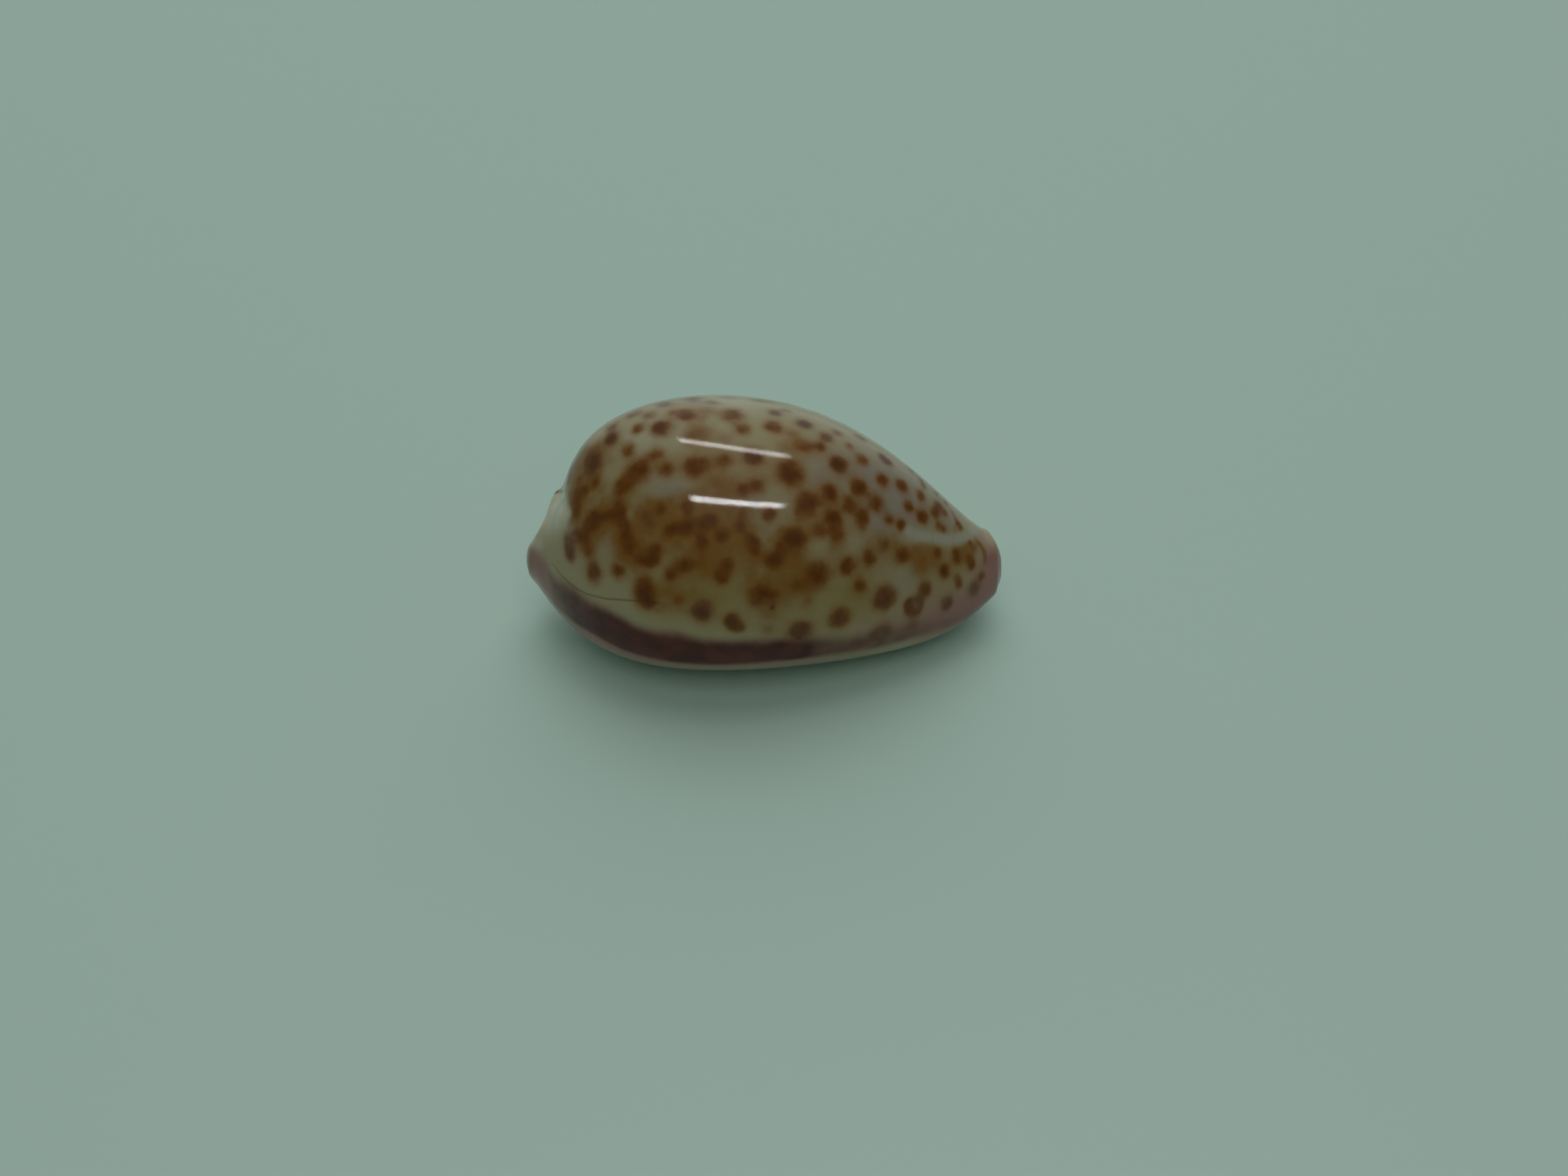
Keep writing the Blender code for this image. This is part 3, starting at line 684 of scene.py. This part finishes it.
# The yellow wash is the lower flank's cream, laid darker than the shell is there: partly its real
# colour, partly painted shade on the lower flank.
YELLOW_SHADED_WASH = [
    (880, 745, 1.5, 0.55), (950, 745, 1.5, 0.60), (1070, 765, 1.6, 0.65), (1000, 785, 1.4, 0.55),
    (1110, 775, 1.3, 0.55), (920, 775, 1.3, 0.55), (1210, 760, 1.0, 0.45), (850, 780, 1.0, 0.45),
    (940, 700, 1.2, 0.35), (1220, 725, 0.9, 0.35), (870, 585, 1.3, 0.25)]
WHITE_WASH = [
    (722, 640, 0.6, 0.80), (722, 655, 0.6, 0.85), (716, 675, 0.5, 0.60), (724, 622, 0.5, 0.60),
    (728, 668, 0.45, 0.60), (703, 672, 0.6, 0.90), (690, 698, 0.45, 0.80), (1274, 698, 0.4, 0.40),
    (710, 655, 0.4, 0.70), (1090, 700, 0.9, 0.20), (960, 560, 1.3, 0.10), (868, 549, 1.3, 0.50),
    (768, 560, 1.0, 0.30), (1274, 700, 0.5, 0.30), (1160, 828, 0.8, 0.35), (930, 520, 1.5, 0.40),
    (820, 565, 1.0, 0.50)]
LILAC_WASH = [
    (1277, 703, 0.7, 0.20), (1280, 725, 0.8, 0.90), (1275, 750, 0.9, 1.00), (1255, 775, 1.1, 0.95),
    (1225, 790, 1.1, 0.90), (1190, 800, 1.1, 0.80), (1150, 812, 1.0, 0.60), (1105, 825, 0.9, 0.55),
    (1262, 688, 0.5, 0.40), (1268, 735, 0.7, 0.50), (694, 724, 0.5, 0.55), (692, 734, 0.6, 0.80),
    (735, 695, 0.5, 0.50), (700, 745, 0.5, 0.50)]


def wash(spots):
    """The sum of soft round washes: each one's strength times a bell of the distance from it."""
    total = np.zeros(len(enamel))
    for across, down, radius, strength in spots:
        distance = np.linalg.norm(enamel - place_of(across, down), axis=1)
        total += strength * bump(distance, 0, radius * MM)
    return np.clip(total, 0, 1)


# The margin's dark band and the pale line where the mantle's two halves met over the front canal,
# as lines of photograph pixels. The band's edges become heights along the shell, which hold for
# the hidden side too, and a lilac-brown rim runs on below it.
BAND_TOP = [
    (701, 718), (712, 742), (728, 752), (740, 758), (760, 774), (780, 785), (800, 796), (820, 805),
    (840, 812), (870, 816), (905, 824), (945, 826), (975, 823), (1020, 820), (1085, 818), (1140, 808),
    (1200, 794), (1240, 782)]
BAND_FOOT = [
    (690, 746), (712, 777), (740, 803), (760, 815), (780, 825), (800, 834), (820, 842), (860, 851),
    (960, 853), (1000, 850), (1060, 844), (1120, 835), (1180, 820), (1240, 798)]
# The band's soft upper edge is drawn wide: partly the band's own soft edge, partly painted shade that
# darkens the flank just above the band.
BAND_SOFTNESS = 0.65 * MM
BAND_FOOT_SOFTNESS = 0.35 * MM
BAND_ROW = 790
BAND_STATIONS = [690, 712, 740, 780, 900, 1010, 1060, 1110, 1160, 1240]
BAND_STRENGTH = [0.24, 0.58, 0.90, 1.00, 1.00, 0.96, 0.72, 0.62, 0.54, 0.30]
MANTLE_LINE = [(1165, 680), (1175, 688), (1200, 690), (1225, 694), (1245, 688), (1256, 680)]
MANTLE_HALF_WIDTH = 0.24 * MM
MANTLE_STRENGTH = 0.9
MANTLE_WHITE = 0.35
HIDDEN_BAND = (0.85, 0.42)
BAND_HIDES = 0.35
RIM_LILAC = [0.85, 0.80, 0.85, 0.95, 1.00, 0.80, 0.50, 0.20, 0.10, 0.30]
RIM_FADE = (0.85, 0.25)
BASE_DOWN = (0.68, 0.95)
HIDDEN_LILAC = 0.6
HIDDEN_LILAC_FACING = (0.1, -0.1)
HIDDEN_LILAC_FROM = (9.3 * MM, 10.8 * MM)
CALLUS_SOFTNESS = 0.05 * MM


def height_of(line):
    """The height of a line of pixels at each enamel point's own place along the shell."""
    places = np.array([place_of(*pixel) for pixel in line])
    order = np.argsort(places[:, 0])
    return np.interp(enamel[:, 0], places[order, 0], places[order, 2])


height = enamel[:, 2]
strength_places = np.array([place_of(across, BAND_ROW)[0] for across in BAND_STATIONS])
band = smooth_step(-BAND_SOFTNESS, BAND_SOFTNESS, height_of(BAND_TOP) - height)
band *= smooth_step(-BAND_FOOT_SOFTNESS, BAND_FOOT_SOFTNESS, height - height_of(BAND_FOOT))
hidden_strength = between(HIDDEN_BAND, 2 * enamel[:, 0] / LENGTH)
shown_strength = np.interp(enamel[:, 0], strength_places, BAND_STRENGTH)
band *= np.where(enamel[:, 1] < 0, shown_strength, hidden_strength)
down = -enamel_normals[:, 2]
under_band = smooth_step(-BAND_FOOT_SOFTNESS, BAND_FOOT_SOFTNESS, height_of(BAND_TOP) - height)
rim = under_band * smooth_step(*RIM_FADE, down)
rim *= np.interp(enamel[:, 0], strength_places, RIM_LILAC)
base = smooth_step(*BASE_DOWN, down)
enamel_across, enamel_down = photo_pixels(enamel)
# The dark line of painted shade along the crease of the callus step: the distance from the crease line
# in millimetres, drawn only on the side in view.
below, near = beyond_line(enamel_down, enamel_across, crease_across, crease_down)
crease_shade_mask = near * (facing > 0)
before, near = beyond_line(enamel_across, enamel_down, whorl_down, whorl_across)
callus = smooth_step(-CALLUS_SOFTNESS, CALLUS_SOFTNESS, -before) * near * (facing > 0)
mantle = np.zeros(len(enamel))
for start, end in zip(MANTLE_LINE, MANTLE_LINE[1:]):
    ends = place_of(*start), place_of(*end)
    mantle = np.maximum(mantle, stroke_amount(*ends, MANTLE_HALF_WIDTH, MANTLE_STRENGTH))


def lay_on(name, values, inside=0.0):
    """Store one value per enamel point as an attribute; the border takes its edge's value."""
    everywhere = np.full(len(shell_points), inside)
    everywhere[:len(enamel)] = values
    everywhere[ring_ids] = values[outer_edge][None, :]
    attribute = shell_mesh.attributes.new(name, "FLOAT", "POINT")
    attribute.data.foreach_set("value", everywhere.astype(np.float32))


veil = np.clip(wash(TAN_VEIL) + hidden_veil + HALO_SHARE * (1 - clear), 0, 1)
lay_on("pigment", pigment * (1 - mantle) * (1 - BAND_HIDES * band) * (1 - base) * (1 - callus))
lay_on("tint", tint)
lay_on("veil", veil * (1 - mantle) * (1 - callus))
lay_on("lavender", np.maximum(wash(LAVENDER_WASH), mantle))
# The lower flank's cream together with painted shade there.
lay_on("yellow_shaded", wash(YELLOW_SHADED_WASH))
lay_on("white", np.maximum(wash(WHITE_WASH), MANTLE_WHITE * mantle))
hidden_ends = HIDDEN_LILAC * smooth_step(*HIDDEN_LILAC_FROM, np.abs(enamel[:, 0]))
hidden_ends = hidden_ends * smooth_step(*HIDDEN_LILAC_FACING, facing)
lay_on("lilac", np.maximum.reduce([wash(LILAC_WASH), hidden_ends, rim]))
lay_on("band", band)
lay_on("base", base, inside=1.0)
# These two carry the painted shade line along the crease.
lay_on("crease", below / MM, inside=1.0)
lay_on("crease_shade_mask", crease_shade_mask)


def linear(hex_colour):
    """An sRGB hex colour as linear red, green, blue and alpha 1."""
    srgb = np.array([int(hex_colour[i:i + 2], 16) for i in (1, 3, 5)]) / 255
    straight = np.where(srgb <= 0.04045, srgb / 12.92, ((srgb + 0.055) / 1.055) ** 2.4)
    return (*straight, 1.0)


def node(tree, kind, settings=None, values=None, links=None):
    """Add one node: its settings, its sockets' own values and what its sockets are linked from."""
    made = tree.nodes.new(kind)
    for name, value in (settings or {}).items():
        setattr(made, name, value)
    for socket, value in (values or {}).items():
        made.inputs[socket].default_value = value
    for socket, source in (links or {}).items():
        tree.links.new(source, made.inputs[socket])
    return made


# Polished shell enamel: aragonite laid down in thin layers and burnished by the animal's mantle.
# The eye gets a pale ground with soft-edged brown spots under a clear, wet-looking gloss.
GROUND = "#AEA07B"
# Cream of the lower flank, darkened as painted shade.
YELLOW_SHADED_GROUND = "#9D8852"
LAVENDER_GROUND = "#A0978B"
WHITE_GROUND = "#CFCDB6"
BASE_WHITE = "#D2C6B0"
VEIL_TAN = "#8E6226"
LILAC_MARGIN = "#A77970"
BAND_BROWN = "#622B1F"
BAND_DARK = "#451910"
BAND_BLOTCH = (0.30, 0.72)
BAND_EDGE = (0.05, 0.90)
# Colour of the painted shade line along the crease of the callus step.
CREASE_SHADE_BROWN = "#4A3A26"
BROWN_STAIN = [(0.0, "#A4854F"), (0.3, "#95692A"), (0.6, "#835018"), (1.0, "#68390E")]
VIOLET_STAIN = [(0.0, "#9C8A70"), (0.3, "#8A6C52"), (0.6, "#72503C"), (1.0, "#583427")]
STAIN_FULL = 0.80
VEIL_EDGE = (0.10, 1.10)
MOTTLE_SIZE = 0.45 * MM
MOTTLE_DEPTH = 0.42
PATCH_SIZE = 1.1 * MM
PATCH_DEPTH = 0.9
CLOUD_SIZE = 2.2 * MM
CLOUD_DEPTH = 0.5
GRAIN_SIZE = 0.08 * MM
GRAIN_HEIGHT = 0.0022 * MM
# Half-width in millimetres and strength of the painted shade line along the crease.
CREASE_SHADE_WIDTH = 0.09
CREASE_SHADE_DEPTH = 0.5
NOISE_DETAIL = 3.0
GLOSS = {
    "Roughness": 0.40, "Specular IOR Level": 0.05, "IOR": 1.53, "Coat Weight": 1.0,
    "Coat Roughness": 0.05, "Coat IOR": 1.32}

shell_enamel = bpy.data.materials.new("polished_shell_enamel")
shell_enamel.use_nodes = True
tree = shell_enamel.node_tree
shader = tree.nodes["Principled BSDF"]
place = node(tree, "ShaderNodeTexCoord").outputs["Object"]
painted = {
    name: node(tree, "ShaderNodeAttribute", {"attribute_name": name}).outputs["Fac"]
    for name in (
        "pigment", "tint", "veil", "lavender", "yellow_shaded", "white", "lilac", "band", "base",
        "crease", "crease_shade_mask")}
mottle, patch, cloud, grain = [
    node(
        tree, "ShaderNodeTexNoise", values={"Scale": 1 / size, "Detail": NOISE_DETAIL},
        links={"Vector": place})
    for size in (MOTTLE_SIZE, PATCH_SIZE, CLOUD_SIZE, GRAIN_SIZE)]
uneven, patchy, clouded = [
    node(
        tree, "ShaderNodeMapRange", {"clamp": False}, {"To Min": 1 - depth, "To Max": 1 + depth},
        {"Value": field.outputs["Fac"]})
    for field, depth in ((mottle, MOTTLE_DEPTH), (patch, PATCH_DEPTH), (cloud, CLOUD_DEPTH))]
share = {
    name: node(
        tree, "ShaderNodeMath", {"operation": "MULTIPLY", "use_clamp": True},
        links={0: painted[name], 1: field.outputs["Result"]}).outputs["Value"]
    for name, field in (
        ("pigment", uneven), ("veil", patchy), ("yellow_shaded", clouded), ("lavender", clouded),
        ("band", clouded))}
colour = node(
    tree, "ShaderNodeMix", {"data_type": "RGBA"}, {6: linear(GROUND), 7: linear(YELLOW_SHADED_GROUND)},
    {0: share["yellow_shaded"]})
veil_cover = node(
    tree, "ShaderNodeMapRange", {"interpolation_type": "SMOOTHSTEP"},
    {"From Min": VEIL_EDGE[0], "From Max": VEIL_EDGE[1]}, {"Value": share["veil"]})
for paint, amount in (
        (LAVENDER_GROUND, share["lavender"]), (WHITE_GROUND, painted["white"]),
        (VEIL_TAN, veil_cover.outputs["Result"]), (LILAC_MARGIN, painted["lilac"])):
    colour = node(
        tree, "ShaderNodeMix", {"data_type": "RGBA"}, {7: linear(paint)},
        {0: amount, 6: colour.outputs[2]})
stains = []
for stops in (BROWN_STAIN, VIOLET_STAIN):
    ramp = node(tree, "ShaderNodeValToRGB", links={"Fac": share["pigment"]})
    elements = ramp.color_ramp.elements
    elements[0].color, elements[1].color = linear(stops[0][1]), linear(stops[-1][1])
    for position, paint in stops[1:-1]:
        elements.new(position).color = linear(paint)
    stains.append(ramp.outputs["Color"])
spots = node(
    tree, "ShaderNodeMix", {"data_type": "RGBA"},
    links={0: painted["tint"], 6: stains[0], 7: stains[1]})
cover = node(
    tree, "ShaderNodeMapRange", {"interpolation_type": "SMOOTHSTEP"}, {"From Max": STAIN_FULL},
    {"Value": share["pigment"]})
colour = node(
    tree, "ShaderNodeMix", {"data_type": "RGBA"},
    links={0: cover.outputs["Result"], 6: colour.outputs[2], 7: spots.outputs[2]})
# The painted shade line along the crease: strongest on the crease and gone a short way off it.
off_line = node(tree, "ShaderNodeMath", {"operation": "ABSOLUTE"}, links={0: painted["crease"]})
line = node(
    tree, "ShaderNodeMapRange", {"interpolation_type": "SMOOTHSTEP"},
    {"From Max": CREASE_SHADE_WIDTH, "To Min": CREASE_SHADE_DEPTH, "To Max": 0.0},
    {"Value": off_line.outputs["Value"]})
line = node(
    tree, "ShaderNodeMath", {"operation": "MULTIPLY"},
    links={0: line.outputs["Result"], 1: painted["crease_shade_mask"]})
colour = node(
    tree, "ShaderNodeMix", {"data_type": "RGBA"}, {7: linear(BASE_WHITE)},
    {0: painted["base"], 6: colour.outputs[2]})
blotch = node(
    tree, "ShaderNodeMapRange", {"interpolation_type": "SMOOTHSTEP"},
    {"From Min": BAND_BLOTCH[0], "From Max": BAND_BLOTCH[1]}, {"Value": patch.outputs["Fac"]})
band_cover = node(
    tree, "ShaderNodeMapRange", {"interpolation_type": "SMOOTHSTEP"},
    {"From Min": BAND_EDGE[0], "From Max": BAND_EDGE[1]}, {"Value": share["band"]})
band_paint = node(
    tree, "ShaderNodeMix", {"data_type": "RGBA"}, {6: linear(BAND_BROWN), 7: linear(BAND_DARK)},
    {0: blotch.outputs["Result"]})
colour = node(
    tree, "ShaderNodeMix", {"data_type": "RGBA"},
    links={0: band_cover.outputs["Result"], 6: colour.outputs[2], 7: band_paint.outputs[2]})
# Lay the painted shade line along the crease over everything.
colour = node(
    tree, "ShaderNodeMix", {"data_type": "RGBA"}, {7: linear(CREASE_SHADE_BROWN)},
    {0: line.outputs["Value"], 6: colour.outputs[2]})
tree.links.new(colour.outputs[2], shader.inputs["Base Color"])
polish = node(
    tree, "ShaderNodeBump", values={"Strength": 1.0, "Distance": GRAIN_HEIGHT},
    links={"Height": grain.outputs["Fac"]})
tree.links.new(polish.outputs["Normal"], shader.inputs["Normal"])
tree.links.new(polish.outputs["Normal"], shader.inputs["Coat Normal"])
for socket, value in GLOSS.items():
    shader.inputs[socket].default_value = value
shell_mesh.materials.append(shell_enamel)

shell = bpy.data.objects.new("enamelled_shell", shell_mesh)
bpy.context.scene.collection.objects.link(shell)
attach(shell, "root")
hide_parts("shell")


# The floor: a plain pale plate, wide enough to fill the view.
FLOOR_SIZE = 1.2
FLOOR_COLOUR = "#C6E3DB"
FLOOR_ROUGHNESS = 0.5
half = FLOOR_SIZE / 2
floor_corners = [(-half, -half, 0), (half, -half, 0), (half, half, 0), (-half, half, 0)]
floor_mesh = bpy.data.meshes.new("floor")
floor_mesh.from_pydata(floor_corners, [], [(0, 1, 2, 3)])
floor_paint = bpy.data.materials.new("pale_plate")
floor_paint.use_nodes = True
floor_shader = floor_paint.node_tree.nodes["Principled BSDF"]
floor_shader.inputs["Base Color"].default_value = linear(FLOOR_COLOUR)
floor_shader.inputs["Roughness"].default_value = FLOOR_ROUGHNESS
floor_mesh.materials.append(floor_paint)
floor = bpy.data.objects.new("floor", floor_mesh)
bpy.context.scene.collection.objects.link(floor)


# The light: two wide soft panels overhead, two long tubes parallel to the shell that only show as
# its highlights, and a pale surround that is brighter behind the shell than in front of it.
TUBE_HEIGHT = 0.32
TUBES = [
    {"slope": 0.28, "ends": (-0.055, 0.125), "width": 0.020, "radiance": 18.0},
    {"slope": -0.53, "ends": (-0.100, 0.155), "width": 0.007, "radiance": 95.0}]
PANEL_HEIGHT = 0.50
PANEL_SIZE = 0.45
PANELS = [{"slope": 0.45, "radiance": 1.12}, {"slope": -0.60, "radiance": 0.72}]
PANEL_COLOUR = "#FFFDF2"
SURROUND_COLOUR = "#D3E6E4"
SURROUND_FROM = (0.3, 0.95)
SURROUND_STRENGTH = (0.13, 0.78)
for spec in TUBES:
    tube_data = bpy.data.lights.new("tube", "AREA")
    tube_data.shape = "RECTANGLE"
    tube_data.size = spec["ends"][1] - spec["ends"][0]
    tube_data.size_y = spec["width"]
    tube_data.energy = spec["radiance"] * np.pi * tube_data.size * tube_data.size_y
    tube = bpy.data.objects.new("tube", tube_data)
    tube.location = (sum(spec["ends"]) / 2, spec["slope"] * TUBE_HEIGHT, TUBE_HEIGHT)
    tube.rotation_euler = (-np.arctan(spec["slope"]), 0, 0)
    tube.visible_diffuse = False
    bpy.context.scene.collection.objects.link(tube)
for spec in PANELS:
    panel_data = bpy.data.lights.new("panel", "AREA")
    panel_data.shape = "SQUARE"
    panel_data.size = PANEL_SIZE
    panel_data.energy = spec["radiance"] * np.pi * PANEL_SIZE ** 2
    panel_data.color = linear(PANEL_COLOUR)[:3]
    panel = bpy.data.objects.new("panel", panel_data)
    panel.location = (0, spec["slope"] * PANEL_HEIGHT, PANEL_HEIGHT)
    panel.rotation_euler = (-np.arctan(spec["slope"]), 0, 0)
    panel.visible_glossy = False
    bpy.context.scene.collection.objects.link(panel)
world = bpy.data.worlds.new("surround")
world.use_nodes = True
sky = world.node_tree
direction = node(sky, "ShaderNodeTexCoord").outputs["Generated"]
depth_part = node(sky, "ShaderNodeSeparateXYZ", links={"Vector": direction}).outputs["Y"]
glow = node(
    sky, "ShaderNodeMapRange", {"interpolation_type": "SMOOTHSTEP"},
    {
        "From Min": SURROUND_FROM[0], "From Max": SURROUND_FROM[1],
        "To Min": SURROUND_STRENGTH[0], "To Max": SURROUND_STRENGTH[1]},
    {"Value": depth_part})
background = sky.nodes["Background"]
background.inputs["Color"].default_value = linear(SURROUND_COLOUR)
sky.links.new(glow.outputs["Result"], background.inputs["Strength"])
bpy.context.scene.world = world
bpy.context.scene.view_settings.view_transform = "Standard"
